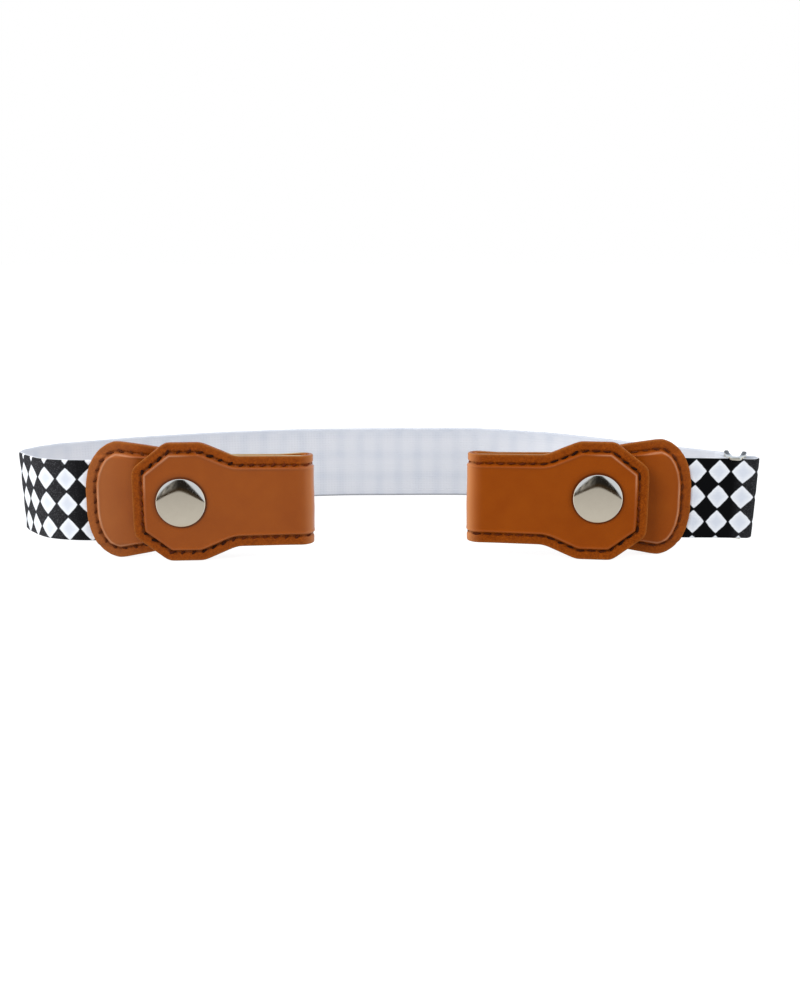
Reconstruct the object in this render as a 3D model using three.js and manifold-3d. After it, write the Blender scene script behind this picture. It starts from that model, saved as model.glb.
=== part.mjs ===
import * as THREE from 'three';
import Module from 'manifold-3d';
import { mergeVertices } from 'three/addons/utils/BufferGeometryUtils.js';

// A child's elastic belt without a buckle, standing on its edge with both tabs snapped shut.
// Sizes are in millimetres. X runs along the front from the left tab to the right tab,
// Y runs from the front to the back, and Z runs up from the surface that the belt stands on.

// Elastic webbing
const webWidth = 25;
const webThickness = 1.2;
const pieceGap = 0.3;

// Leather strap: two layers sewn together round their edge
const strapMiddle = 18;
const rimThickness = 0.9;
const fieldThickness = 1.2;
const rimWidth = 3;
const rimSlope = 0.6;
const layerGap = 0.3;
const foldRadius = 4.2;
const bendAlong = 37;
const bendReach = 5;
const capAlong = 38.7;
const headEnd = 53.4;
const baseEnd = 68.5;

// Where the elastic lies between the two layers of the base
const pocketHalf = 13.3;
const pocketShut = 14.1;
const pocketOpenBelow = 14.9;
const pocketDepth = 14;
const pocketRun = 5;

// Half the strap's height, by the distance from its fold, on its front run and on its back run
const headOutline = [
  { along: 0, half: 13.6 },
  { along: 22.4, half: 13.8 },
  { along: 24.2, half: 14.3 },
  { along: 31.6, half: 17.5 },
  { along: 33.2, half: 18 },
  { along: 42.9, half: 18 },
  { along: 44, half: 17.5 },
  { along: 51.6, half: 9 },
  { along: 52.7, half: 7.5 },
  { along: 53.2, half: 6 },
  { along: 53.4, half: 4.5 },
];
const baseOutline = [
  { along: 0, half: 13.6 },
  { along: 10, half: 13.1 },
  { along: 32, half: 13.3 },
  { along: 38, half: 14.2 },
  { along: 49.8, half: 16.5 },
  { along: 57, half: 17.7 },
  { along: 59.3, half: 17.9 },
  { along: 61.8, half: 17 },
  { along: 64.2, half: 15.2 },
  { along: 66.2, half: 12.6 },
  { along: 67.6, half: 9.4 },
  { along: 68.3, half: 6 },
  { along: 68.5, half: 3.5 },
];

// The two tabs: place of the fold's tip, middle of the base and of the head, and the front run's slant
const tabs = [
  { side: 'left', outward: -1, tipX: -26.2, baseY: 0.6, headY: -4.65, slant: 3.7, capLift: 0.1 },
  { side: 'right', outward: 1, tipX: 20.4, baseY: 4.05, headY: -3.65, slant: 6.6, capLift: 1.1 },
];

// Snap: domed cap on the head, and the plain post between head and base
const capRadius = 7.5;
const capHeight = 2.3;
const capRim = 0.6;
const capSides = 28;
const postRadius = 5.2;
const postNeck = 3.2;
const postFlange = 0.5;

// Slide: two upright bars joined by rails; the upper rail bows forward over the front run
const slideLeft = { x: 100.1, y: 7.9 };
const slideRight = { x: 105, y: 6 };
const barRadius = 0.7;
const barSides = 10;
const barTop = 30.7;
const barBottom = 3.7;
const barTip = 0.3;
const railWidth = 1.3;
const railHeight = 0.6;
const railBow = 3.95;
const railRise = 0.35;

// Middle line of the long elastic seen from above, with the height of its lower edge:
// from inside the left base, round the left side and the back, to the slide's inner bar.
const longRoute = [
  { x: -80, y: 0.6, low: 5.1 },
  { x: -90, y: 0.6, low: 5.1 },
  { x: -97.5, y: 0.6, low: 5.1 },
  { x: -108, y: 3, low: 4.9 },
  { x: -115.6, y: 10.3, low: 4.4 },
  { x: -119.6, y: 20.3, low: 3.7 },
  { x: -119.2, y: 30, low: 3.1 },
  { x: -114.5, y: 40, low: 2.5 },
  { x: -106, y: 48.6, low: 2 },
  { x: -85, y: 62.6, low: 1.2 },
  { x: -58, y: 74.2, low: 0.5 },
  { x: -30, y: 81.8, low: 0 },
  { x: 0, y: 83.4, low: 0 },
  { x: 28, y: 83, low: 0 },
  { x: 44, y: 78.6, low: 0 },
  { x: 57, y: 70.8, low: 0.4 },
  { x: 69, y: 58.6, low: 1.2 },
  { x: 81, y: 44, low: 2.1 },
  { x: 92.5, y: 30, low: 3.1 },
  { x: 99.5, y: 21.8, low: 3.6 },
  { x: 102.4, y: 15, low: 4.3 },
  { x: 102.1, y: 10.6, low: 4.6 },
];
const longTail = [
  { x: 99.4, y: 11.2, low: 4.6 },
  { x: 100.4, y: 14, low: 4.4 },
  { x: 99.6, y: 17, low: 4.2 },
];

// Middle line of the short elastic: from inside the right base, past the slide, round the fold
// and back inside between the two bars, as a tail sewn behind the front run.
const shortRoute = [
  { x: 74, y: 4.05, low: 5.2 },
  { x: 88.6, y: 4.05, low: 5.1 },
  { x: 96, y: 3.3, low: 5 },
  { x: 101, y: 2.7, low: 4.95 },
  { x: 105.5, y: 2.4, low: 4.9 },
];
const shortFold = { x: 105.5, y: 5, radius: 2.6 };
const shortTail = [
  { x: 102.1, y: 5.36, low: 4.6 },
  { x: 100.3, y: 4.75, low: 4.6 },
  { x: 96, y: 4.95, low: 4.6 },
  { x: 92.5, y: 5.3, low: 4.6 },
];

// Colours and finishes
const webMaterial = { color: 0x8f9299, roughness: 0.85, metalness: 0 };
const outerMaterial = { color: 0x964f22, roughness: 0.45, metalness: 0 };
const innerMaterial = { color: 0x985228, roughness: 0.5, metalness: 0 };
const nickelMaterial = { color: 0xb9b1a0, roughness: 0.15, metalness: 1 };
const steelMaterial = { color: 0x96938a, roughness: 0.3, metalness: 1 };

const wasm = await Module();
wasm.setup();

const radians = THREE.MathUtils.degToRad;
const clamp = THREE.MathUtils.clamp;

// Value of a column at a distance along a table, straight between its rows
function lookUp(table, along) {
  const next = table.findIndex((row) => row.along >= along);
  if (next <= 0) {
    return next === 0 ? table[0].half : table.at(-1).half;
  }
  const before = table[next - 1];
  const after = table[next];
  const share = (along - before.along) / (after.along - before.along);
  return before.half + share * (after.half - before.half);
}

// Six times the signed volume of a closed triangle list, to tell which way its faces point
function facesOutward(positions, indices) {
  const corner = (k) => new THREE.Vector3().fromArray(positions, 3 * indices[k]);
  let volume = 0;
  for (let k = 0; k < indices.length; k += 3) {
    volume += corner(k).dot(corner(k + 1).cross(corner(k + 2)));
  }
  return volume > 0;
}

// Closed solid through a row of rings with the same number of points, its two ends shut by fans
function ringSolid(rings) {
  const size = rings[0].length;
  const positions = rings.flat().flatMap((point) => [point.x, point.y, point.z]);
  const indices = [];
  for (let r = 0; r < rings.length - 1; r += 1) {
    for (let k = 0; k < size; k += 1) {
      const a = r * size + k;
      const b = r * size + ((k + 1) % size);
      indices.push(a, b, b + size, a, b + size, a + size);
    }
  }
  for (const [ring, flip] of [[0, true], [rings.length - 1, false]]) {
    const centre = new THREE.Vector3();
    rings[ring].forEach((point) => centre.add(point));
    centre.divideScalar(size);
    const hub = positions.length / 3;
    positions.push(centre.x, centre.y, centre.z);
    for (let k = 0; k < size; k += 1) {
      const a = ring * size + k;
      const b = ring * size + ((k + 1) % size);
      indices.push(...(flip ? [hub, b, a] : [hub, a, b]));
    }
  }
  if (!facesOutward(positions, indices)) {
    indices.reverse();
  }
  const geometry = new THREE.BufferGeometry();
  geometry.setAttribute('position', new THREE.Float32BufferAttribute(positions, 3));
  geometry.setIndex(indices);
  geometry.computeVertexNormals();
  return geometry;
}

function mesh(name, geometry, finish) {
  const piece = new THREE.Mesh(geometry, new THREE.MeshStandardMaterial(finish));
  piece.name = name;
  return piece;
}

// Points of a smooth curve through the rows of a route table, about one each step, none of them
// below the surface that the belt stands on
function smoothPoints(rows, step) {
  const curve = new THREE.CatmullRomCurve3(rows.map((row) => new THREE.Vector3(row.x, row.y, row.low)));
  const points = curve.getSpacedPoints(Math.round(curve.getLength() / step));
  return points.map((point) => point.setZ(Math.max(point.z, 0)));
}

// Points on an arc seen from above, its lower edge going evenly from one height to the other
function arcPoints(centre, radius, fromDegrees, toDegrees, count, fromLow, toLow) {
  return Array.from({ length: count + 1 }, (_, k) => {
    const share = k / count;
    const angle = radians(fromDegrees + share * (toDegrees - fromDegrees));
    const low = fromLow + share * (toLow - fromLow);
    return new THREE.Vector3(centre.x + radius * Math.cos(angle), centre.y + radius * Math.sin(angle), low);
  });
}

// Upright webbing: a rectangle, webThickness by webWidth, carried along the points of a route
function webbing(points) {
  const rings = points.map((point, k) => {
    const before = points[Math.max(k - 1, 0)];
    const after = points[Math.min(k + 1, points.length - 1)];
    const ahead = new THREE.Vector2(after.x - before.x, after.y - before.y).normalize();
    const side = new THREE.Vector2(-ahead.y, ahead.x).multiplyScalar(webThickness / 2);
    return [[1, 0], [-1, 0], [-1, 1], [1, 1]].map(([face, up]) => new THREE.Vector3(
      point.x + face * side.x,
      point.y + face * side.y,
      point.z + up * webWidth,
    ));
  });
  return ringSolid(rings);
}

const wrapRadius = barRadius + pieceGap + webThickness / 2;

function longElastic() {
  const points = [
    ...smoothPoints(longRoute, 4.5),
    ...arcPoints(slideLeft, wrapRadius, 0, -180, 8, 4.6, 4.6),
    ...smoothPoints(longTail, 2),
  ];
  return mesh('long_elastic', webbing(points), webMaterial);
}

function shortElastic() {
  const foldBack = shortFold.y + shortFold.radius;
  const points = [
    ...smoothPoints(shortRoute, 4),
    ...arcPoints(shortFold, shortFold.radius, -72, 90, 9, 4.85, 4.6),
    ...arcPoints(slideRight, foldBack - slideRight.y, 100, 135, 2, 4.6, 4.6),
    ...smoothPoints(shortTail, 2),
  ];
  return mesh('short_elastic', webbing(points), webMaterial);
}

// Middle line of a tab's strap seen from above, as (distance outward from the fold's tip, y):
// base end, straight base, gentle bend, back run, fold, front run, head end.
function strapRoute(tab) {
  const slant = radians(tab.slant);
  const reach = layerGap / 2 + fieldThickness;
  const centre = { along: foldRadius + reach, y: 0 };
  centre.y = tab.headY + (foldRadius + (capAlong - centre.along) * Math.sin(slant)) / Math.cos(slant);
  const run = centre.along - bendAlong;
  const rise = centre.y - tab.baseY;
  const rake = Math.atan2(run, rise) + Math.acos(-foldRadius / Math.hypot(run, rise));
  const frontStart = centre.along - foldRadius * Math.sin(slant);
  const frontLength = (headEnd - frontStart) / Math.cos(slant);
  const frontY = centre.y - foldRadius * Math.cos(slant);
  const path = new THREE.Path();
  path.moveTo(baseEnd, tab.baseY);
  path.lineTo(bendAlong + bendReach, tab.baseY);
  path.quadraticCurveTo(
    bendAlong,
    tab.baseY,
    bendAlong - bendReach * Math.cos(rake),
    tab.baseY + bendReach * Math.sin(rake),
  );
  path.lineTo(centre.along + foldRadius * Math.sin(rake), centre.y + foldRadius * Math.cos(rake));
  path.absarc(centre.along, centre.y, foldRadius, Math.PI / 2 - rake, 1.5 * Math.PI - slant, false);
  path.lineTo(frontStart + frontLength * Math.cos(slant), frontY - frontLength * Math.sin(slant));
  return path;
}

// Stations of a strap: one at each row of the outlines, at the rims' ends and round the fold
function strapStations(tab) {
  const path = strapRoute(tab);
  const samples = 1200;
  const fine = Array.from({ length: samples + 1 }, (_, k) => {
    const point = path.getPointAt(k / samples);
    const ahead = path.getTangentAt(k / samples);
    return { along: point.x, y: point.y, ahead };
  });
  const tip = fine.reduce((best, row, k) => (row.along < fine[best].along ? k : best), 0);
  const backRun = fine.slice(0, tip + 1).map((row) => ({ ...row, front: false }));
  const frontRun = fine.slice(tip + 1).map((row) => ({ ...row, front: true }));
  const nearest = (run, along) => run.reduce((best, row) => (
    Math.abs(row.along - along) < Math.abs(best.along - along) ? row : best
  ));
  const endMarks = (end) => [end - rimWidth, end - rimWidth - rimSlope];
  const shared = [10, 16];
  const webEnd = baseEnd - pocketDepth;
  const backMarks = [
    ...baseOutline.slice(1).map((row) => row.along),
    ...endMarks(baseEnd),
    ...shared,
    24,
    35,
    41.5,
    webEnd,
    webEnd - pocketRun / 2,
    webEnd - pocketRun,
  ];
  const frontMarks = [...headOutline.slice(1).map((row) => row.along), ...endMarks(headEnd), ...shared, 38];
  const foldStations = (run) => run.filter((row, k) => row.along < foldRadius + 1 && k % 16 === 0);
  const back = backMarks.map((mark) => nearest(backRun, mark)).sort((a, b) => b.along - a.along);
  const front = frontMarks.map((mark) => nearest(frontRun, mark)).sort((a, b) => a.along - b.along);
  const foldBack = foldStations(backRun);
  const foldFront = foldStations(frontRun);
  return [...back, ...foldBack, ...foldFront, ...front].filter((row, k, all) => all.indexOf(row) === k);
}

// Section of one leather layer: a thin sewn rim all round and a raised field inside it.
// At the base both parts stand off the strap's middle line, because the elastic lies between.
function layerSection(station, facing) {
  const outline = station.front ? headOutline : baseOutline;
  const end = station.front ? headEnd : baseEnd;
  const half = lookUp(outline, station.along);
  const inFromEnd = end - station.along;
  const puff = clamp((inFromEnd - rimWidth) / rimSlope, 0, 1);
  const cover = station.front ? 0 : clamp((station.along - baseEnd + pocketDepth + pocketRun) / pocketRun, 0, 1);
  const lift = cover * (webThickness / 2 + pieceGap - layerGap / 2);
  const rimOpen = clamp((pocketOpenBelow - half) / (pocketOpenBelow - pocketShut), 0, 1);
  const rimFace = layerGap / 2 + lift * rimOpen;
  const fieldFace = layerGap / 2 + lift;
  const shut = Math.min(pocketShut, 0.97 * half);
  const open = Math.min(pocketHalf, 0.94 * half);
  const rimIn = Math.max(half - rimWidth, 0.6 * half);
  const fieldOut = Math.max(half - rimWidth - rimSlope, 0.5 * half);
  const rimBack = rimFace + rimThickness;
  const edgeBack = half < pocketOpenBelow + rimWidth ? Math.max(rimBack, fieldFace + rimThickness) : rimBack;
  const fieldBack = fieldFace + rimThickness + puff * (fieldThickness - rimThickness);
  const upperHalf = [
    [open, fieldFace],
    [shut, rimFace],
    [half, rimFace],
    [half, rimBack],
    [rimIn, edgeBack],
    [fieldOut, fieldBack],
  ];
  const lowerHalf = upperHalf.map(([height, offset]) => [-height, offset]).reverse();
  return [...upperHalf, ...lowerHalf].map(([height, offset]) => [height, facing * offset]);
}

function leatherLayer(tab, stations, facing) {
  const rings = stations.map((station) => {
    const normal = { along: -station.ahead.y, y: station.ahead.x };
    return layerSection(station, facing).map(([height, offset]) => new THREE.Vector3(
      tab.tipX + tab.outward * (station.along + offset * normal.along),
      station.y + offset * normal.y,
      strapMiddle + height,
    ));
  });
  return ringSolid(rings);
}

// Solid of revolution about Z, from a profile that starts and ends on the axis
function turned(profile, sides) {
  const points = profile.map(([radius, height]) => new THREE.Vector2(radius, height));
  return new THREE.LatheGeometry(points, sides).rotateX(Math.PI / 2);
}

// Snap cap: flat back, small rolled rim and a shallow dome
function capGeometry() {
  const domeSteps = 5;
  const dome = Array.from({ length: domeSteps + 1 }, (_, k) => {
    const angle = (k / domeSteps) * (Math.PI / 2);
    return [capRadius * Math.cos(angle), capRim + (capHeight - capRim) * Math.sin(angle)];
  });
  dome[domeSteps][0] = 0;
  return turned([[0, 0], [capRadius - capRim / 2, 0], ...dome], capSides);
}

// Snap post: a neck between two flanges, as tall as the room between head and base
function postGeometry(height) {
  return turned([
    [0, 0],
    [postRadius, 0],
    [postRadius, postFlange],
    [postNeck, postFlange],
    [postNeck, height - postFlange],
    [postRadius, height - postFlange],
    [postRadius, height],
    [0, height],
  ], capSides);
}

function snapPieces(tab) {
  const slant = radians(tab.slant);
  const reach = layerGap / 2 + fieldThickness;
  const x = tab.tipX + tab.outward * capAlong;
  const forward = new THREE.Vector3(tab.outward * -Math.sin(slant), -Math.cos(slant), 0);
  const turn = new THREE.Quaternion().setFromUnitVectors(new THREE.Vector3(0, 0, 1), forward);
  const place = (piece, out) => {
    piece.quaternion.copy(turn);
    piece.position.set(x, tab.headY, strapMiddle + tab.capLift).addScaledVector(forward, out);
    return piece;
  };
  const room = tab.baseY - tab.headY - 2 * reach;
  const height = room - 2 * pieceGap - postRadius * Math.sin(slant) * 1.2;
  const cap = mesh(`${tab.side}_snap_cap`, capGeometry(), nickelMaterial);
  const post = mesh(`${tab.side}_snap_post`, postGeometry(height), steelMaterial);
  return [place(cap, reach + pieceGap), place(post, -reach - pieceGap - height)];
}

function asManifold(geometry) {
  const bare = geometry.clone();
  bare.deleteAttribute('normal');
  bare.deleteAttribute('uv');
  const merged = mergeVertices(bare, 1e-4);
  return new wasm.Manifold(new wasm.Mesh({
    numProp: 3,
    vertProperties: new Float32Array(merged.attributes.position.array),
    triVerts: new Uint32Array(merged.index.array),
  }));
}

function fromManifold(solid) {
  const result = solid.getMesh();
  const geometry = new THREE.BufferGeometry();
  geometry.setAttribute('position', new THREE.Float32BufferAttribute(result.vertProperties, 3));
  geometry.setIndex(new THREE.Uint32BufferAttribute(result.triVerts, 1));
  geometry.computeVertexNormals();
  return geometry;
}

// Upright bar with rounded tips that stand proud of the rails
function slideBar(place) {
  const height = barTop - barBottom;
  return turned([
    [0, 0],
    [barRadius - barTip, 0],
    [barRadius, barTip],
    [barRadius, height - barTip],
    [barRadius - barTip, height],
    [0, height],
  ], barSides).translate(place.x, place.y, barBottom);
}

// Rail from one bar to the other on a parabola, bowed forward and raised in the middle
function slideRail(height, bow, rise) {
  const start = new THREE.Vector3(slideLeft.x, slideLeft.y, height);
  const end = new THREE.Vector3(slideRight.x, slideRight.y, height);
  const control = start.clone().add(end).multiplyScalar(0.5).add(new THREE.Vector3(0, -2 * bow, 2 * rise));
  const curve = new THREE.QuadraticBezierCurve3(start, control, end);
  const steps = 12;
  const corners = [[-1, -0.3], [-0.6, -0.5], [0.6, -0.5], [1, -0.3], [1, 0.3], [0.6, 0.5], [-0.6, 0.5], [-1, 0.3]];
  const rings = Array.from({ length: steps + 1 }, (_, k) => {
    const point = curve.getPoint(k / steps);
    const ahead = curve.getTangent(k / steps).setZ(0).normalize();
    const side = new THREE.Vector3(-ahead.y, ahead.x, 0).multiplyScalar(railWidth / 2);
    return corners.map(([across, up]) => (
      point.clone().addScaledVector(side, across).add(new THREE.Vector3(0, 0, up * railHeight))
    ));
  });
  return ringSolid(rings);
}

function slide() {
  const solids = [
    slideBar(slideLeft),
    slideBar(slideRight),
    slideRail(barTop - railHeight / 2 - 0.2, railBow, railRise),
    slideRail(barBottom + railHeight / 2, 0, 0),
  ].map(asManifold);
  const joined = solids.reduce((whole, piece) => whole.add(piece));
  return mesh('slide', fromManifold(joined), steelMaterial);
}

const belt = new THREE.Group();
belt.add(longElastic(), shortElastic(), slide());
for (const tab of tabs) {
  const stations = strapStations(tab);
  const outer = leatherLayer(tab, stations, -1);
  const inner = leatherLayer(tab, stations, 1);
  belt.add(mesh(`${tab.side}_outer_leather`, outer, outerMaterial));
  belt.add(mesh(`${tab.side}_inner_leather`, inner, innerMaterial));
  belt.add(...snapPieces(tab));
}

// The origin is below the middle of the belt's box, on the surface that it stands on.
const box = new THREE.Box3().setFromObject(belt, true);
const middle = box.getCenter(new THREE.Vector3());
belt.position.set(-middle.x, -middle.y, -box.min.z);

export default belt;
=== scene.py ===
import functools
import math

import bpy
import numpy as np
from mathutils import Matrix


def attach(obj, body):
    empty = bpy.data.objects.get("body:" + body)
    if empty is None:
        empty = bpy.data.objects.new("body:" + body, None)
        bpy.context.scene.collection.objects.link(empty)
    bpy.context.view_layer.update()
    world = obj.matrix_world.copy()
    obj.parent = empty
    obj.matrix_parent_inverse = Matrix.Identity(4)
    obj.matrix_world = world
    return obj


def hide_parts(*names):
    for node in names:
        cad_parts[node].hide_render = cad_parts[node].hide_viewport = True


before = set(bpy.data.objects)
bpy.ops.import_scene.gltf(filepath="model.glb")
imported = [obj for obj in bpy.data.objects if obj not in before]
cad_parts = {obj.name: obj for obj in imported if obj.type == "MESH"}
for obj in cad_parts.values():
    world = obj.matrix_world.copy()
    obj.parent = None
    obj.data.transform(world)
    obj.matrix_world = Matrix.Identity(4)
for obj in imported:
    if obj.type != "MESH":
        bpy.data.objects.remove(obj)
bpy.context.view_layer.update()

# A child's elastic belt without a buckle: printed elastic webbing, two folded leather snap tabs and a
# small slide. Tables and sizes are in millimetres, measured from the middle of the belt's front;
# place() carries them to the frame, in metres.
METRES = 0.001
FRAME_SHIFT = np.array([5.9087, -37.8191, 0.0])

# Elastic webbing
WEB_WIDTH = 25.0
WEB_THICKNESS = 1.2
SELVEDGE = 0.5
WEB_SWELL = 0.04
LEAN_HINGE = 0.25
PIECE_GAP = 0.3

# Leather tabs
STRAP_MIDDLE = 18.0
LAYER_REACH = 1.35
FOLD_RADIUS = 2.8
BEND_ALONG = 37.0
BEND_REACH = 5.0
SNAP_ALONG = 38.7
SWING_FROM = 29.0
HEAD_END = 53.45
BASE_END = 68.2
POCKET_DEPTH = 14.0
POCKET_FADE = 5.0
POCKET_HALF_HEIGHT = 14.1
POCKET_LIFT = 0.6
LAYER_GAP = 0.03
STITCH_INSET = 2.75
STITCH_PITCH = 3.2
STITCH_STAND = 0.6
OUTER, LINING = -1, 1

# Relief of a leather layer across its edge: how much each form adds or takes, and at what distance
# from the outline
EDGE_HEIGHT = 0.6
EDGE_ROLL = 0.28
RIM_RISE = 0.27
SHOULDER = (2.95, 3.6)
FIELD_RISE = 0.58
LIP_AT = 3.75
LIP_RISE = 0.2
CROWN_RISE = 0.1
GROOVE_DEPTH = 0.16
HOLE_DEPTH = 0.14
SNAP_HOLLOW = 0.24
FOLD_RISE = 0.4
FOLD_SPREAD = 6.0

# Half height of a strap by the distance from its fold, on the front run (head) and the back run (base)
HEAD_OUTLINE = np.array([
    (0, 13.6), (22.4, 13.8), (24.2, 14.3), (31.6, 17.5), (33.2, 18), (42.9, 18), (44.2, 17.4),
    (52.4, 11), (53.1, 10), (53.4, 8.4), (53.45, 5.5),
])
BASE_OUTLINE = np.array([
    (0, 13.6), (10, 13.1), (32, 13.3), (38, 14.2), (49.8, 16.5), (57, 17.7), (59.3, 17.9),
    (61.8, 17), (64.2, 15.2), (66, 12.6), (67.3, 9.4), (68, 6), (68.2, 3.5),
])

TABS = {
    "left": dict(outward=-1, tip_x=-26.1, base_y=0.6, head_y=-4.65, slant=math.radians(3.7),
                 cap_along=39.2, cap_lift=0.1, swing=1.6, drop=.35, trim=0, raw=1, gloss=1,
                 thread=.4, thread_slant=-40),
    "right": dict(outward=1, tip_x=20.5, base_y=4.05, head_y=-3.65, slant=math.radians(6.6),
                  cap_along=38.6, cap_lift=1.1, swing=1.6, drop=.33, trim=.45, raw=.3, gloss=.2,
                  thread=.33, thread_slant=11),
}

# Snaps: a turned shape starts and ends at the radius POLE, where its end face shuts it
POLE = 0.01
CAP_STAND = 0.12
POST_RADIUS = 5.2

# Slide
SLIDE_LEFT = np.array([100.1, 7.9])
SLIDE_RIGHT = np.array([105.0, 6.0])
BAR_RADIUS = 0.7
BAR_ROUND = 0.42
BAR_TOP = 31.1
BAR_BOTTOM = 3.8
RAIL_ARCH = (-1.4, -5.0, -.8)

# Middle line of each elastic seen from above, and the height of its lower edge: x, y, low. LOW_AT_SLIDE
# is that height where the elastics go round the slide's bars.
LOW_AT_SLIDE = 4.6
ARC_STEP = 0.3
LONG_ROUTE = [
    (-80, -.2, 5.1), (-90, -.75, 5.1), (-97.5, -.7, 5.1), (-107.2, 2.6, 4.9), (-114.6, 10.7, 4.4),
    (-120, 21, 3.7), (-119.2, 30, 3.1), (-114.5, 40, 2.5), (-106, 48.6, 2), (-85, 62.6, 1.2),
    (-58, 74.2, .5), (-30, 81.8, 0), (0, 83.4, 0), (28, 83, 0), (44, 78.6, 0), (57, 70.8, .4),
    (69, 58.6, 1.2), (81, 44, 2.1), (92.5, 30, 3.1), (99.5, 21.8, 3.6), (102.4, 15, 4.3),
    (102.1, 10.6, 4.6),
]
LONG_TAIL = [(99.4, 11.2, 4.6), (100.4, 14, 4.4), (99.6, 17, 4.2)]
LONG_BARE_TAIL = 17.0
SHORT_ROUTE = [
    (74, 3.24, 5.2), (88.6, 2.43, 5.1), (96, 2.7, 5), (101, 2.65, 4.95), (105.5, 2.4, 4.9),
]
SHORT_FOLD = np.array([105.5, 5.0])
SHORT_FOLD_RADIUS = 2.6
SHORT_TAIL = [(102.1, 5.36, 4.6), (100.3, 4.75, 4.6), (96, 4.95, 4.6), (92.5, 5.3, 4.6)]


# ---------------------------------------------------------------- meshes

def place(points):
    """Points in millimetres from the middle of the front, in metres in the frame."""
    return (np.asarray(points, float) + FRAME_SHIFT) * METRES


def swept_faces(rings, size, first):
    """Quads between neighbouring rings of the same size, and one face that shuts each end."""
    row = np.arange(rings - 1)[:, None] * size
    column = np.arange(size)[None, :]
    after = (column + 1) % size
    quads = np.stack([row + column, row + after, row + after + size, row + column + size], -1)
    ends = [np.arange(size)[::-1], np.arange(size) + (rings - 1) * size]
    return (quads.reshape(-1, 4) + first).tolist() + [(end + first).tolist() for end in ends]


def inside_out(points, quads):
    """True where the corners of the quads, taken as a closed surface, enclose a negative volume."""
    a, b, c, d = (points[quads[:, k]] for k in range(4))
    volume = np.einsum("ij,ij->", a, np.cross(b, c)) + np.einsum("ij,ij->", a, np.cross(c, d))
    return volume < 0


def add_piece(name, shells, material, replaced=(), crease=38):
    """Joins closed shells into one piece on the body root.

    Each shell is (rings, size, 3) points in millimetres and a dict of point attributes."""
    points, faces, attributes = [], [], {}
    first = 0
    for rings, values in shells:
        count, size = rings.shape[:2]
        flat = rings.reshape(-1, 3)
        shell_faces = swept_faces(count, size, first)
        quads = np.array(shell_faces[:-2]) - first
        if inside_out(flat - flat.mean(0), quads):
            shell_faces = [face[::-1] for face in shell_faces]
        points.append(flat)
        faces += shell_faces
        first += len(flat)
        for key, value in values.items():
            attributes.setdefault(key, []).append(value.reshape(-1, 3))
    mesh = bpy.data.meshes.new(name)
    mesh.from_pydata(place(np.vstack(points)), [], faces)
    for key, value in attributes.items():
        layer = mesh.attributes.new(key, "FLOAT_VECTOR", "POINT")
        layer.data.foreach_set("vector", np.vstack(value).astype(np.float32).ravel())
    mesh.shade_smooth()
    mesh.set_sharp_from_angle(angle=math.radians(crease))
    mesh.materials.append(material)
    piece = bpy.data.objects.new(name, mesh)
    bpy.context.scene.collection.objects.link(piece)
    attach(piece, "root")
    if replaced:
        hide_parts(*replaced)


def step_up(low, high, value):
    """Smooth step from 0 at low to 1 at high."""
    share = np.clip((value - low) / (high - low), 0, 1)
    return share * share * (3 - 2 * share)


def bell(value, middle, width):
    """Bell curve: 1 at its middle, 1/e at a width from it."""
    return np.exp(-((value - middle) / width) ** 2)


def ripple(across, along, waves):
    """Sum of sine waves over a surface: wavelength, direction in degrees, phase and height of each."""
    total = np.zeros(np.broadcast(across, along).shape)
    for length, degrees, phase, height in waves:
        angle = math.radians(degrees)
        total += height * np.sin(
            2 * math.pi * (across * math.cos(angle) + along * math.sin(angle)) / length + phase)
    return total


# ---------------------------------------------------------------- routes

def even_points(points, step):
    """Points an even step apart along a polyline."""
    lengths = np.concatenate([[0], np.cumsum(np.linalg.norm(np.diff(points, axis=0), axis=1))])
    wanted = np.linspace(0, lengths[-1], max(int(round(lengths[-1] / step)), 2) + 1)
    return np.stack([np.interp(wanted, lengths, points[:, k]) for k in range(points.shape[1])], 1)


def smooth_route(rows, step):
    """Centripetal Catmull-Rom curve through the rows of a route table, in even steps.

    Each span is blended twice between straight lines over knots a square root of a distance apart,
    and no point lies below the floor."""
    rows = np.array(rows, float)
    rows = np.vstack([2 * rows[0] - rows[1], rows, 2 * rows[-1] - rows[-2]])
    spans = len(rows) - 3
    p0, p1, p2, p3 = (rows[k:spans + k, None] for k in range(4))
    t1, t2, t3 = np.cumsum([
        np.linalg.norm(b - a, axis=-1, keepdims=True) ** 0.5
        for a, b in ((p0, p1), (p1, p2), (p2, p3))
    ], axis=0)
    t = t1 + (t2 - t1) * np.linspace(0, 1, 60, endpoint=False)[None, :, None]
    a1 = ((t1 - t) * p0 + t * p1) / t1
    a2 = ((t2 - t) * p1 + (t - t1) * p2) / (t2 - t1)
    a3 = ((t3 - t) * p2 + (t - t2) * p3) / (t3 - t2)
    b1 = ((t2 - t) * a1 + t * a2) / t2
    b2 = ((t3 - t) * a2 + (t - t1) * a3) / (t3 - t1)
    curve = ((t2 - t) * b1 + (t - t1) * b2) / (t2 - t1)
    points = even_points(np.vstack([curve.reshape(-1, 3), rows[-2]]), step)
    points[:, 2] = np.maximum(points[:, 2], 0)
    return points


def arc_route(centre, radius, start, stop, low_start=LOW_AT_SLIDE):
    """Arc seen from above from one angle to another in degrees, its lower edge going evenly from
    low_start to LOW_AT_SLIDE."""
    count = max(int(abs(math.radians(stop - start)) * radius / ARC_STEP), 3)
    angle = np.radians(np.linspace(start, stop, count + 1))
    low = np.linspace(low_start, LOW_AT_SLIDE, count + 1)
    return np.stack(
        [centre[0] + radius * np.cos(angle), centre[1] + radius * np.sin(angle), low], 1)


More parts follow.
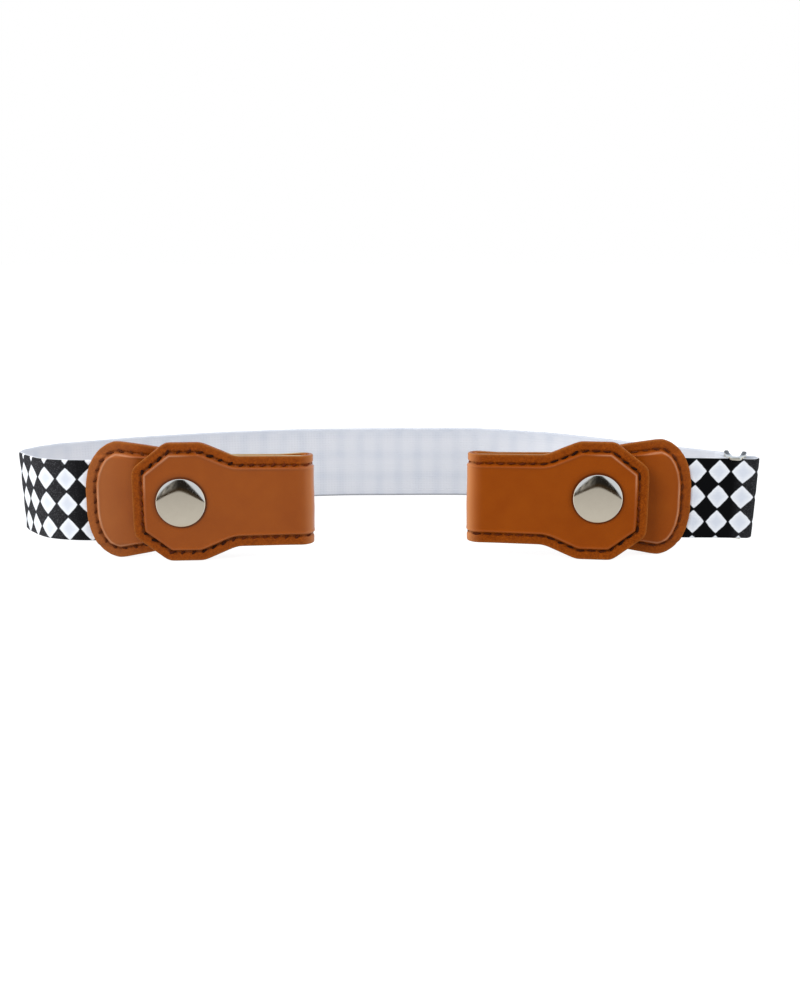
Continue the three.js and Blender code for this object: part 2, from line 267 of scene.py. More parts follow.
def route_frame(points):
    """Distance along a route, and the sideways unit vector to the left of travel."""
    flat = points[:, :2]
    lengths = np.concatenate([[0], np.cumsum(np.linalg.norm(np.diff(flat, axis=0), axis=1))])
    ahead = np.gradient(flat, lengths, axis=0)
    ahead /= np.linalg.norm(ahead, axis=1)[:, None]
    return lengths, np.stack([-ahead[:, 1], ahead[:, 0]], 1)


# ---------------------------------------------------------------- elastic webbing

def webbing(points, print_side, first_column, pitch, rows_from_top, lean, greyed, crest=((0, 0),),
            bare_from=1e9, edge_spread=0, squeeze=0):
    """Upright webbing along a route: a thin slab with half-round selvedges.

    The section goes up the printed face, over the top selvedge, down the plain face and under the lower
    one; its sides swell and sink by a few hundredths of a millimetre, as woven cloth does. Point
    attributes give the cloth's millimetres (along, up, which face), the print's place in diamonds
    (column, row, spread of its ink) and the share by which the ink greys where the belt bends, partly
    as the weave opens and partly as painted sheen. A white diamond's middle is first_column along and
    rows_from_top down, and pitch is its width and height. lean and crest are tables over the distance
    along: how far in mm the upper edge leans outward and how much higher it stands; a third such table
    gives how much the ink greys. The print stops at bare_from, its ink spreads at the upper selvedge by
    edge_spread of a diamond, and squeeze narrows the white diamonds."""
    lengths, left = route_frame(points)
    along = lengths[:, None]
    half = WEB_THICKNESS / 2
    columns = 44
    face = np.linspace(SELVEDGE, WEB_WIDTH - SELVEDGE, columns)
    turn = np.linspace(0, math.pi, 9)[1:-1]
    up = np.concatenate([face, WEB_WIDTH - SELVEDGE + SELVEDGE * np.sin(turn),
                         face[::-1], SELVEDGE - SELVEDGE * np.sin(turn)])
    side = np.concatenate([np.ones(columns), np.cos(turn), -np.ones(columns), -np.cos(turn)])
    waviness = ripple(along, up, [
        (23, 8, .4, .035), (9.5, -20, 1.1, .025), (5.2, 35, 2.3, .015)])
    across = (half + np.minimum(waviness, WEB_SWELL)) * side
    edge_wave = ripple(along, 0, [(31, 0, .3, .03), (9, 0, 1.9, .015)])
    edge_wave = edge_wave + np.interp(along, *np.transpose(crest))
    rise = up + edge_wave * (up / WEB_WIDTH)
    leaning = np.interp(along, *np.transpose(lean))
    across = across + leaning * (up / WEB_WIDTH - LEAN_HINGE)
    sideways = left[:, None, :] * (across * print_side)[..., None]
    rings = np.concatenate(
        [points[:, None, :2] + sideways, (points[:, None, 2] + rise)[..., None]], -1)
    printed_side = side * step_up(bare_from + 1, bare_from, along)
    from_top = WEB_WIDTH - up
    column = (along - first_column) / pitch[0]
    column = column + squeeze * np.sin(2 * math.pi * column) / (2 * math.pi)
    row = (from_top - rows_from_top) / pitch[1]
    spread = edge_spread * np.exp(-from_top / 1.3)
    # Share by which the ink greys where the belt bends, partly as the weave opens and partly as painted
    # sheen
    greying = np.interp(along, *np.transpose(greyed))[..., None]
    return rings, {
        "cloth": np.stack(np.broadcast_arrays(along, up, printed_side), -1),
        "diamonds": np.stack(np.broadcast_arrays(column, row, spread), -1),
        "greying": np.broadcast_to(greying, rings.shape),
    }


# ---------------------------------------------------------------- leather tabs

def strap_path(tab):
    """Middle line of a tab's strap in even steps from the base's end to the head's end.

    Straight base, a gentle bend (quadratic curve), straight back run, round fold (arc) and straight
    front run that leans by the tab's slant; given as distance outward from the fold's tip, and y."""
    slant = tab["slant"]
    lean = np.array([math.cos(slant), -math.sin(slant)])
    along = FOLD_RADIUS + LAYER_REACH
    centre = np.array([
        along,
        tab["head_y"] + (FOLD_RADIUS + (SNAP_ALONG - along) * math.sin(slant)) / math.cos(slant),
    ])
    run, rise = along - BEND_ALONG, centre[1] - tab["base_y"]
    rake = math.atan2(run, rise) + math.acos(-FOLD_RADIUS / math.hypot(run, rise))
    corner = np.array([BEND_ALONG, tab["base_y"]])
    before = corner + (BEND_REACH, 0)
    after = corner + (-BEND_REACH * math.cos(rake), BEND_REACH * math.sin(rake))
    t = np.linspace(0, 1, 40)[:, None]
    curve = (1 - t) ** 2 * before + 2 * t * (1 - t) * corner + t ** 2 * after
    angle = np.linspace(math.pi / 2 - rake, 1.5 * math.pi - slant, 120)
    fold = centre + FOLD_RADIUS * np.stack([np.cos(angle), np.sin(angle)], 1)
    end = fold[-1] + lean * (HEAD_END - fold[-1, 0]) / math.cos(slant)
    whole = np.vstack([[(BASE_END - tab["trim"], tab["base_y"])], curve, fold, [end]])
    return even_points(whole, 0.1)


def strap_outline(path):
    """Closed outline of the flat strap, and its upper half from end to end, as (along, up).

    The outline is walked in even steps and each point averaged with its neighbours under a bell
    curve, which rounds its corners a little."""
    tip = int(np.argmin(path[:, 0]))
    lengths = np.arange(len(path)) * np.linalg.norm(path[1] - path[0])
    half = np.where(
        np.arange(len(path)) <= tip,
        np.interp(path[:, 0] + BASE_END - path[0, 0], BASE_OUTLINE[:, 0], BASE_OUTLINE[:, 1]),
        np.interp(path[:, 0], HEAD_OUTLINE[:, 0], HEAD_OUTLINE[:, 1]),
    )
    upper = np.stack([lengths, half], 1)
    lower = upper[::-1] * (1, -1)
    loop = even_points(np.vstack([upper, lower, upper[:1]]), 0.2)[:-1]
    reach, spread = 9, 3.2
    weights = np.exp(-0.5 * (np.arange(-reach, reach + 1) / spread) ** 2)
    weights /= weights.sum()
    wrapped = np.vstack([loop[-reach:], loop, loop[:reach]])
    loop = np.stack([np.convolve(wrapped[:, k], weights, "valid") for k in range(2)], 1)
    top = loop[loop[:, 1] > 0]
    return loop, top[np.argsort(top[:, 0])]


def edge_distance(points, loop):
    """Distance from each point to the closed outline, by the nearest point of each of its segments.

    It goes by parts of the points, to spare memory."""
    a, b = loop, np.roll(loop, -1, axis=0)
    segment = b - a
    squared = (segment ** 2).sum(1)
    best = np.full(len(points), 1e9)
    for part in np.array_split(np.arange(len(points)), max(len(points) // 1500, 1)):
        offset = points[part][:, None] - a
        share = np.clip((offset * segment).sum(-1) / squared, 0, 1)
        best[part] = np.sqrt(((offset - share[..., None] * segment) ** 2).sum(-1)).min(1)
    return best


def stitch_places(loop):
    """Middle and direction of each stitch: even steps on a line STITCH_INSET inside the outline."""
    ahead = np.roll(loop, -1, axis=0) - np.roll(loop, 1, axis=0)
    ahead /= np.linalg.norm(ahead, axis=1)[:, None]
    inward = np.stack([ahead[:, 1], -ahead[:, 0]], 1)
    parallel = loop + STITCH_INSET * inward
    kept = edge_distance(parallel, loop) > STITCH_INSET - 0.03
    parallel = parallel[kept]
    closed = np.vstack([parallel, parallel[:1]])
    length = np.linalg.norm(np.diff(closed, axis=0), axis=1).sum()
    count = int(round(length / STITCH_PITCH))
    steps = 12
    seam = even_points(closed, length / (count * steps))[:-1]
    direction = np.roll(seam, -3, axis=0) - np.roll(seam, 3, axis=0)
    middle, direction = seam[::steps][:count], direction[::steps][:count]
    return middle, direction / np.linalg.norm(direction, axis=1)[:, None]


def near_stitches(points, centres, radius):
    """Bell-shaped closeness, 1 to 0, of each point to the nearest of the centres."""
    best = np.full(len(points), 1e9)
    for part in np.array_split(np.arange(len(points)), max(len(points) // 3000, 1)):
        best[part] = ((points[part][:, None] - centres) ** 2).sum(-1).min(1)
    return np.exp(-best / radius ** 2)


class Strap:
    """One tab's strap laid flat: along from the base's end, and up from its middle height.

    A layer faces OUTER, to the outside of the fold, or LINING, to the inside."""

    def __init__(self, tab):
        self.tab = tab
        self.path = strap_path(tab)
        self.lengths = np.arange(len(self.path)) * np.linalg.norm(self.path[1] - self.path[0])
        ahead = np.gradient(self.path, axis=0)
        ahead /= np.linalg.norm(ahead, axis=1)[:, None]
        self.normal = np.stack([-ahead[:, 1], ahead[:, 0]], 1)
        self.loop, self.top = strap_outline(self.path)
        self.stitches, self.seam_ahead = stitch_places(self.loop)
        tip = int(np.argmin(self.path[:, 0]))
        head = np.arange(len(self.path)) > tip
        outward = self.path[:, 0]
        self.fold_along = self.lengths[tip]
        self.cap_along = np.interp(tab["cap_along"], outward[head], self.lengths[head])
        self.post_along = np.interp(-tab["cap_along"], -outward[~head], self.lengths[~head])

    def bend(self, along, up, offset):
        """Carries flat points (along, up) and an offset from the middle line round the strap's path.

        The base swings forward and sinks a little from the snap to its end, in a straight line."""
        outer_end = np.clip(1 - along / SWING_FROM, 0, 1)
        swing, drop = self.tab["swing"] * outer_end, self.tab["drop"] * outer_end
        spot = [np.interp(along, self.lengths, self.path[:, k]) for k in range(2)]
        normal = [np.interp(along, self.lengths, self.normal[:, k]) for k in range(2)]
        return np.stack([
            self.tab["tip_x"] + self.tab["outward"] * (spot[0] + offset * normal[0]),
            spot[1] + offset * normal[1] - swing,
            STRAP_MIDDLE + np.broadcast_to(up - drop, np.shape(offset)),
        ], -1)

    def lift(self, along, up):
        """How far a layer stands off the middle line: in the base it makes room for the elastic."""
        cover = step_up(POCKET_DEPTH + POCKET_FADE, POCKET_DEPTH, along)
        within = step_up(POCKET_HALF_HEIGHT, POCKET_HALF_HEIGHT - 1, np.abs(up))
        return LAYER_GAP + cover * POCKET_LIFT * within

    def head_end(self, along):
        """1 on the last 11 mm of the head, falling to 0 at 15 mm from its end."""
        stop = self.top[-1, 0]
        return step_up(stop - 15, stop - 11, along)

    def pulled_and_shaded_corner(self, along, up):
        """1 at the head's lower outer corner, falling to 0 round it: there the seam is pulled in, its
        groove runs deeper and takes more painted shade.
        """
        return self.head_end(along) * step_up(-4, -8, up)

    def face_height(self, along, up, distance, facing):
        """Height of the layer's outer face over its mating face, and the share of painted shade in its
        needle holes.

        A rolled edge, a flat rim, a bell-shaped groove under the stitches, a steep shoulder with a low
        lip inside it, and a softly crowned field; then dents at the needle holes, puckers between them,
        shallow ripples, and a round hollow pressed in under each half of the snap. On the outer layer
        the leather round the cap's edge gets a ring of painted shadow, carried with the holes' share."""
        roll = np.clip(1 - distance / EDGE_ROLL, 0, 1)
        folded = bell(along, self.fold_along, FOLD_SPREAD)
        height = EDGE_HEIGHT + RIM_RISE * np.sqrt(1 - roll ** 2) + FOLD_RISE * folded
        height = height + FIELD_RISE * step_up(*SHOULDER, distance) * (1 - .75 * folded)
        lip = LIP_RISE * (1 - .5 * folded) * (1 - .7 * self.head_end(along) * step_up(8, 4, up))
        height = height + lip * bell(distance, LIP_AT, .36)
        height = height + CROWN_RISE * (1 - np.exp(-np.maximum(distance - 4, 0) / 5))
        flat = np.stack([along, up], -1).reshape(-1, 2)
        half = 0.35 * STITCH_PITCH * self.seam_ahead
        needle_holes = np.vstack([self.stitches - half, self.stitches + half])
        holes = near_stitches(flat, needle_holes, 0.34).reshape(along.shape)
        middles = near_stitches(flat, self.stitches, 1.0).reshape(along.shape)
        depth = GROOVE_DEPTH + .26 * middles + .22 * folded + .12 * self.pulled_and_shaded_corner(along, up)
        height = height - bell(distance, STITCH_INSET, .42) * depth - HOLE_DEPTH * holes
        height = height + 0.05 * middles * step_up(3.2, 3.8, distance)
        waves = ripple(along, up, [(17, 25, .3 + facing, .03), (11, 70, 1.9, .025),
                                   (7.3, -35, 2.6, .018), (4.1, 50, .7, .008)])
        height = height + waves * step_up(0.4, 1.5, distance)
        for snap_along in (self.cap_along, self.post_along):
            from_snap = np.hypot(along - snap_along, up - self.tab["cap_lift"])
            height = height - SNAP_HOLLOW * step_up(9.2, 7.3, from_snap)
            # Painted shadow: a dark ring in the outer leather round the cap's edge
            if facing == OUTER and snap_along == self.cap_along:
                holes = np.maximum(holes * .6, .7 * bell(from_snap, 7.5, .35))
        return height, holes

    def layer(self, facing):
        """Closed shell of one leather layer: fine outer face, bulged cut edges and coarse mating face.

        The point attribute leather holds the painted shade in groove and holes, the rim, and the
        painted highlight along the edge with the raw core on the cut edges; the second attribute holds
        the painted highlight on the lip, the gloss, and the painted highlight and sheen on the fold and
        at the base's end."""
        start, stop = self.top[0, 0], self.top[-1, 0]
        grow = np.array([0, .04, .1, .18, .28, .42, .6, .8])
        middle = np.linspace(start + 1.05, stop - 1.05, 500)
        along = np.concatenate([start + grow, middle, (stop - grow)[::-1]])
        near_edge = np.array([.9, .945, .968, .98, .988, .994, .998, 1])
        share = np.concatenate([-near_edge[::-1], np.linspace(-.88, .88, 118), near_edge])
        half = np.interp(along, self.top[:, 0], self.top[:, 1])[:, None]
        up = half * share[None, :]
        grid = np.broadcast_to(along[:, None], up.shape)
        flat = np.stack([grid, up], -1).reshape(-1, 2)
        distance = edge_distance(flat, self.loop).reshape(up.shape)
        height, holes = self.face_height(grid, up, distance, facing)

        def carried(part_up, part_height):
            """Carries one part of the section round the path, a height off the mating face."""
            part_along = np.broadcast_to(along[:, None], part_up.shape)
            stand = self.lift(part_along, part_up)
            return self.bend(part_along, part_up, facing * (stand + part_height))

        wall_up = half + [.03, .05, .03]
        wall_height = np.array([.5, .3, .12])
        rings = np.concatenate([
            carried(up, height), carried(wall_up, wall_height),
            carried(half * np.linspace(.99, -.99, 14), 0), carried(-wall_up, wall_height)[:, ::-1],
        ], 1)

        # Painted shade in the stitch groove, darker in places by slow ripples
        groove = bell(distance, STITCH_INSET + .1, .34)
        groove = groove * (.42 + .3 * ripple(grid, up, [(27, 20, .4, .6), (13, 75, 1.3, .4)]))
        # Painted shade along the seam at the head's lower outer corner
        corner_shade = self.pulled_and_shaded_corner(grid, up) * bell(distance, 3.02, .3)
        groove = np.maximum(groove, .95 * corner_shade)
        # The lining's needle holes take less painted shade
        if facing == LINING:
            holes = holes * .45
        rim = step_up(3.1, 2.6, distance)
        # Painted highlight in a band along the edge, and a little of it on the cut edges
        painted_edge_highlight = bell(distance, 0, .45)
        from_fold = np.abs(along - self.fold_along)
        raw = step_up(2, 5, from_fold) * step_up(27, 23, from_fold)
        face_size = up.shape[1]
        shade_rim_edge = np.zeros(rings.shape)
        shade_rim_edge[:, :face_size] = np.stack([np.maximum(groove, holes), rim, painted_edge_highlight], -1)
        shade_rim_edge[:, face_size:, 1] = 1
        shade_rim_edge[:, face_size:, 2] = (1 + .6 * self.tab["raw"] * raw)[:, None]

        # Painted highlight on the lip, strongest at the head's upper corner and at the base's end
        upper_corner = step_up(stop - 19, stop - 12, grid) * step_up(0, 7, up)
        base_end = step_up(17, 10, grid)
        lip = bell(distance, 3.8, .22) * (.12 + .88 * np.maximum(upper_corner, base_end))
        lip = lip * (.72 + .28 * ripple(grid, up, [(19, 60, 1.2, .6), (7.5, 100, .2, .4)]))
        gloss = self.tab["gloss"]
        # Painted highlight on the fold, stronger on the less glossy tab, and painted sheen towards the
        # base's end
        at_fold = bell(grid, self.fold_along + .8, 1.9) * (1.3 - .5 * gloss)
        painted_sheen = np.maximum(at_fold, .3 * gloss * step_up(20, 3, grid))
        # Painted shade on the lining covered inside the fold: its gloss share drops, so its colour is
        # painted darker and its reflection weakens
        hidden = step_up(22, 32, along) * (facing == LINING)
        gloss_and_highlight = np.zeros(rings.shape)
        gloss_and_highlight[..., 1] = gloss * (1 - hidden)[:, None]
        gloss_and_highlight[:, :face_size, 0], gloss_and_highlight[:, :face_size, 2] = lip, painted_sheen
        return rings, {"leather": shade_rim_edge, "gloss_and_highlight": gloss_and_highlight}

    def stitch_threads(self, facing):
        """Stitches as short slanted capsules whose ends dive into the leather.

        Each is a circle swept along a straight line, its radius an ellipse's root, and its height over
        the groove a parabola. Some are longer, thicker, more slanted, deeper or further aside than
        others, by sines of the stitch's number."""
        number = np.arange(len(self.stitches))
        half_length = 1.3 + 0.14 * np.sin(0.37 * number + 1.1) + 0.12 * np.sin(1.9 * number)
        radius = self.tab["thread"] * (1 + 0.14 * np.sin(2.7 * number + .4))
        slant = np.radians(self.tab["thread_slant"] + 14 * np.sin(1.3 * number + 2))
        ends = np.linspace(-1, 1, 7)
        body = np.sqrt(np.clip(1 - np.abs(ends) ** 3.2, 0, 1)) * radius[:, None] + 0.012
        turn = np.linspace(0, 2 * math.pi, 7)[:-1]
        across = np.stack([-self.seam_ahead[:, 1], self.seam_ahead[:, 0]], 1)
        ahead = self.seam_ahead * np.cos(slant)[:, None] + across * np.sin(slant)[:, None]
        sideways = np.stack([-ahead[:, 1], ahead[:, 0]], 1)
        middles = self.stitches + across * (0.08 * np.sin(3.1 * number))[:, None]
        flat = (middles[:, None, None]
                + ahead[:, None, None] * (ends * half_length[:, None])[..., None, None]
                + sideways[:, None, None] * (body[..., None] * np.cos(turn))[..., None])
        groove = self.lift(flat[..., 0], flat[..., 1]) + STITCH_STAND
        groove = groove + 0.1 * bell(flat[..., 0], self.fold_along, FOLD_SPREAD)
        arch = (0.14 - 0.34 * ends ** 2)[None, :, None]
        sunk = 0.08 * np.sin(1.1 * number + .5)[:, None, None]
        offset = groove + arch - sunk + body[..., None] * np.sin(turn)
        rings = self.bend(flat[..., 0], flat[..., 1], facing * offset)
        along, up = self.stitches.T
        near_fold = bell(along, self.fold_along + 4, 11)
        along_strap = bell(along, self.fold_along + 12, 12)
        at_end = step_up(9, 6, np.abs(up)) * step_up(8, 4, self.top[-1, 0] - along)
        red = 0.1 + 0.16 * np.sin(0.9 * number + 1) + 0.5 * at_end
        red = np.clip(red + np.where(up > 0, .7 * near_fold, .55 * along_strap), 0, 1)
        shade = np.broadcast_to(red[:, None, None, None], rings.shape)
        return [(stitch, {"thread": tone}) for stitch, tone in zip(rings, shade)]


# ---------------------------------------------------------------- metal parts

def turned(profile, sides, middle, axis):
    """Solid of revolution: rings at (radius, distance along axis) about an axis through middle."""
    axis = np.array(axis) / np.linalg.norm(axis)
    helper = np.array([0, 0, 1.0]) if abs(axis[2]) < .9 else np.array([1.0, 0, 0])
    u = np.cross(helper, axis)
    u /= np.linalg.norm(u)
    v = np.cross(axis, u)
    turn = np.linspace(0, 2 * math.pi, sides + 1)[:-1]
    circle = np.cos(turn)[:, None] * u + np.sin(turn)[:, None] * v
    profile = np.array(profile, float)
    return middle + profile[:, 0, None, None] * circle + profile[:, 1, None, None] * axis


def cap_profile():
    """Snap cap: flat back, rolled rim (a quarter and more of a circle) and a shallow spherical dome."""
    roll, rim_middle = .28, (7.06, .38)
    turn = np.radians(np.linspace(-90, 62, 14))
    rim = np.stack([rim_middle[0] + roll * np.cos(turn), rim_middle[1] + roll * np.sin(turn)], 1)
    base, rise, spread = .68, 1.6, 7.14
    sphere = (spread ** 2 + rise ** 2) / (2 * rise)
    radius = spread * np.cos(np.linspace(0, math.pi / 2, 22))
    dome = np.stack([radius, base + np.sqrt(sphere ** 2 - radius ** 2) - (sphere - rise)], 1)
    dome[-1, 0] = POLE
    return np.vstack([[(POLE, 0), (4, 0)], rim, dome])


def post_profile(height):
    """Snap post: a plain stem between two flanges with worked edges."""
    flange = [(POLE, 0), (4.9, 0), (POST_RADIUS, .12), (POST_RADIUS, .4), (4.9, .5), (3.4, .5),
              (3.2, .62)]
    return flange + [(radius, height - rise) for radius, rise in reversed(flange)]


def bar_profile():
    """Upright bar of the slide: a rod whose two ends are rounded by a quarter of a circle."""
    turn = np.radians(np.linspace(0, 90, 7))
    height = BAR_TOP - BAR_BOTTOM
    low_end = np.stack(
        [BAR_RADIUS - BAR_ROUND + BAR_ROUND * np.sin(turn), BAR_ROUND * (1 - np.cos(turn))], 1)
    high_end = (low_end * (1, -1) + (0, height))[::-1]
    return np.vstack([[(POLE, 0)], low_end, high_end, [(POLE, height)]])


def snap_parts(tab):
    """Middle of the head at the snap, the way it faces, and the height that the post has room for.

    Head and base aren't parallel, so the room is less by the post's edge times the slant."""
    slant = tab["slant"]
    forward = np.array([-tab["outward"] * math.sin(slant), -math.cos(slant), 0])
    middle = np.array([
        tab["tip_x"] + tab["outward"] * tab["cap_along"],
        tab["head_y"] - (tab["cap_along"] - SNAP_ALONG) * math.tan(slant),
        STRAP_MIDDLE + tab["cap_lift"]])
    room = tab["base_y"] - tab["head_y"] - 2 * LAYER_REACH
    return middle, forward, room - 2 * PIECE_GAP - POST_RADIUS * math.sin(slant) * 1.2


def rail(height, thickness, arch, half_width):
    """Rail of the slide from one bar to the other.

    A squarish round section is swept along a flat bow (a fourth power), whose middle stands off the
    straight line by arch."""
    start, stop = np.array([*SLIDE_LEFT, height]), np.array([*SLIDE_RIGHT, height])
    share = np.linspace(0, 1, 33)[:, None]
    path = start + (stop - start) * share + (1 - (2 * share - 1) ** 4) * np.array(arch)
    ahead = np.gradient(path[:, :2], axis=0)
    ahead /= np.linalg.norm(ahead, axis=1)[:, None]
    turn = np.linspace(0, 2 * math.pi, 25)[:-1]
    squared = np.stack([np.cos(turn), np.sin(turn)])
    squared = np.sign(squared) * np.abs(squared) ** .7
    left = np.stack([-ahead[:, 1], ahead[:, 0]], 1)[:, None]
    flat = path[:, None, :2] + left * squared[0][None, :, None] * half_width
    level = path[:, None, 2] + thickness / 2 * squared[1][None, :]
    return np.concatenate([flat, level[..., None]], -1)


# ---------------------------------------------------------------- materials

def linear(colour):
    """Linear RGBA from an sRGB hex colour."""
    channels = [int(colour[k:k + 2], 16) / 255 for k in (0, 2, 4)]
    return [c / 12.92 if c <= .04045 else ((c + .055) / 1.055) ** 2.4 for c in channels] + [1]


def add_node(tree, kind, inputs=(), **settings):
    """Adds a shader node, sets what it is told, and fills its inputs or links them.

    The inputs are a list in the node's own order, or a dict by name or number. A node given as an
    input is linked by the first of its outputs that is in use."""
    node = tree.nodes.new("ShaderNode" + kind)
    for key, value in settings.items():
        setattr(node, key, value)
    for key, value in (inputs.items() if isinstance(inputs, dict) else enumerate(inputs)):
        if isinstance(value, bpy.types.Node):
            value = next(socket for socket in value.outputs if socket.enabled)
        if isinstance(value, bpy.types.NodeSocket):
            tree.links.new(value, node.inputs[key])
        else:
            node.inputs[key].default_value = value
    return node


SMOOTH = {"interpolation_type": "SMOOTHSTEP"}


def new_material(name):
    """A material whose node tree is empty, and the function that adds nodes to it."""
    material = bpy.data.materials.new(name)
    material.use_nodes = True
    material.node_tree.nodes.clear()
    return material, functools.partial(add_node, material.node_tree)


# Woven polyester and rubber elastic, printed on one face. Cloth gives a matt surface, bright unprinted
# yarn, and ink that turns grey where the belt bends, partly as the weave opens and partly as painted
# sheen.
webbing_finish, add = new_material("printed_elastic_webbing")
cloth_spot, diamond_spot = (
    add("Attribute", attribute_name=name).outputs["Vector"] for name in ("cloth", "diamonds"))
greying = add("Attribute", attribute_name="greying").outputs["Fac"]
cloth = add("SeparateXYZ", [cloth_spot]).outputs
exact = add("SeparateXYZ", [diamond_spot]).outputs
# The print wanders by up to a fortieth of a diamond
smear = add("TexNoise", {"Vector": cloth_spot, "Scale": .55, "Detail": 2.0}).outputs["Color"]
smear = add("VectorMath", [smear, (.5, .5, .5)], operation="SUBTRACT")
smear = add("VectorMath", {0: smear, "Scale": .05}, operation="SCALE")
smeared = add("VectorMath", [diamond_spot, smear], operation="ADD")
smeared = add("SeparateXYZ", [smeared]).outputs
# Reach is the distance from a diamond's middle, counted so that its sides bow out a little
SIDE_BOW = 1.12
sides = []
for axis in (0, 1):
    side = add("Math", [smeared[axis], .5], operation="PINGPONG")
    sides.append(add("Math", [side, SIDE_BOW], operation="POWER"))
reach = add("Math", sides, operation="ADD")
reach = add("Math", [reach, 1 / SIDE_BOW], operation="POWER")
reach = add("Math", [reach, exact[2]], operation="ADD")
ink = add("MapRange", {"Value": reach, "From Min": .425, "From Max": .475}, **SMOOTH)
on_face = add("MapRange", {"Value": cloth[2], "From Min": .2, "From Max": .7}, **SMOOTH)
ink = add("Math", [ink, on_face], operation="MULTIPLY")
# Ribs about a millimetre apart along the belt and picks across it: drawn a little coarser than the
# real 0.6 mm yarns, so that they show
RIB_PITCH, PICK_PITCH = 1.05, .9
ribs = []
for axis, pitch, phase in ((0, RIB_PITCH, 0), (1, PICK_PITCH, .8)):
    angle = add("Math", [cloth[axis], 2 * math.pi / pitch, phase], operation="MULTIPLY_ADD")
    ribs.append(add("Math", [angle], operation="SINE"))
weave = add("Math", [ribs[0], .7, ribs[1]], operation="MULTIPLY_ADD")
fuzz = add("TexNoise", {"Vector": cloth_spot, "Scale": 2.2, "Detail": 3.0, "Roughness": .65})
weave = add("Math", [fuzz, 1.2, weave], operation="MULTIPLY_ADD")
weave_bump = add("Bump", {"Strength": .15, "Distance": .0001, "Height": weave})
# Unprinted yarn: a cool white, a little greyer in the middle of each diamond than at its border
border = add("MapRange", {"Value": reach, "From Min": .1, "From Max": .44}, **SMOOTH)
white = add("Mix", {0: border, 6: linear("D8DCE4"), 7: linear("ECEEF1")}, data_type="RGBA")
# Bare inner face: the print shows through as faint pale squares between soft, bluer lines, the upper
# selvedge is bluish and the lower edge in shade
through = []
for axis, strength in ((0, .42), (1, .36)):
    line = add("Math", [exact[axis], .5], operation="PINGPONG")
    through.append(add("MapRange", {
        "Value": line, "From Min": .14, "From Max": .46, "To Max": strength}, **SMOOTH))
lines = add("Math", through, operation="ADD")
top_band = add("MapRange", {
    "Value": cloth[1], "From Min": WEB_WIDTH - 2.6, "From Max": WEB_WIDTH - .8, "To Max": .8})
lines = add("Math", [lines, top_band], operation="MAXIMUM")
cloud = add("TexNoise", {"Vector": cloth_spot, "Scale": .12, "Detail": 3.0})
cloud = add("MapRange", {
    "Value": cloud, "From Min": .35, "From Max": .65, "To Min": .55, "To Max": 1.1})
lines = add("Math", [lines, cloud], operation="MULTIPLY")
inner = add("Mix", {0: lines, 6: linear("D7D9DE"), 7: linear("C6CBD4")}, data_type="RGBA")
low_edge = add("MapRange", {"Value": cloth[1], "From Min": .75, "From Max": .25, "To Max": .85})
inner = add("Mix", {0: low_edge, 6: inner, 7: linear("86868A")}, data_type="RGBA")
bare = add("MapRange", {"Value": cloth[2], "From Min": -.2, "From Max": .6})
yarn = add("Mix", {0: bare, 6: inner, 7: white}, data_type="RGBA")
# Ink: near black; where the belt bends, speckled with white yarn where the weave opens, and greyer,
# partly from the open weave and partly as painted sheen
speck = add("MapRange", {"Value": fuzz, "From Min": .5, "From Max": .72, "To Max": .16})
ink_greying = add("Math", [speck, greying], operation="MULTIPLY")
ink_greying = add("Math", [greying, .05, ink_greying], operation="MULTIPLY_ADD")
black = add("Mix", {0: ink_greying, 6: linear("0B0B0C"), 7: linear("A9A8AD")}, data_type="RGBA")
printed = add("Mix", {0: ink, 6: yarn, 7: black}, data_type="RGBA")
add("OutputMaterial", {"Surface": add("BsdfPrincipled", {
    "Base Color": printed, "Roughness": .85, "Specular IOR Level": .06, "Normal": weave_bump})})


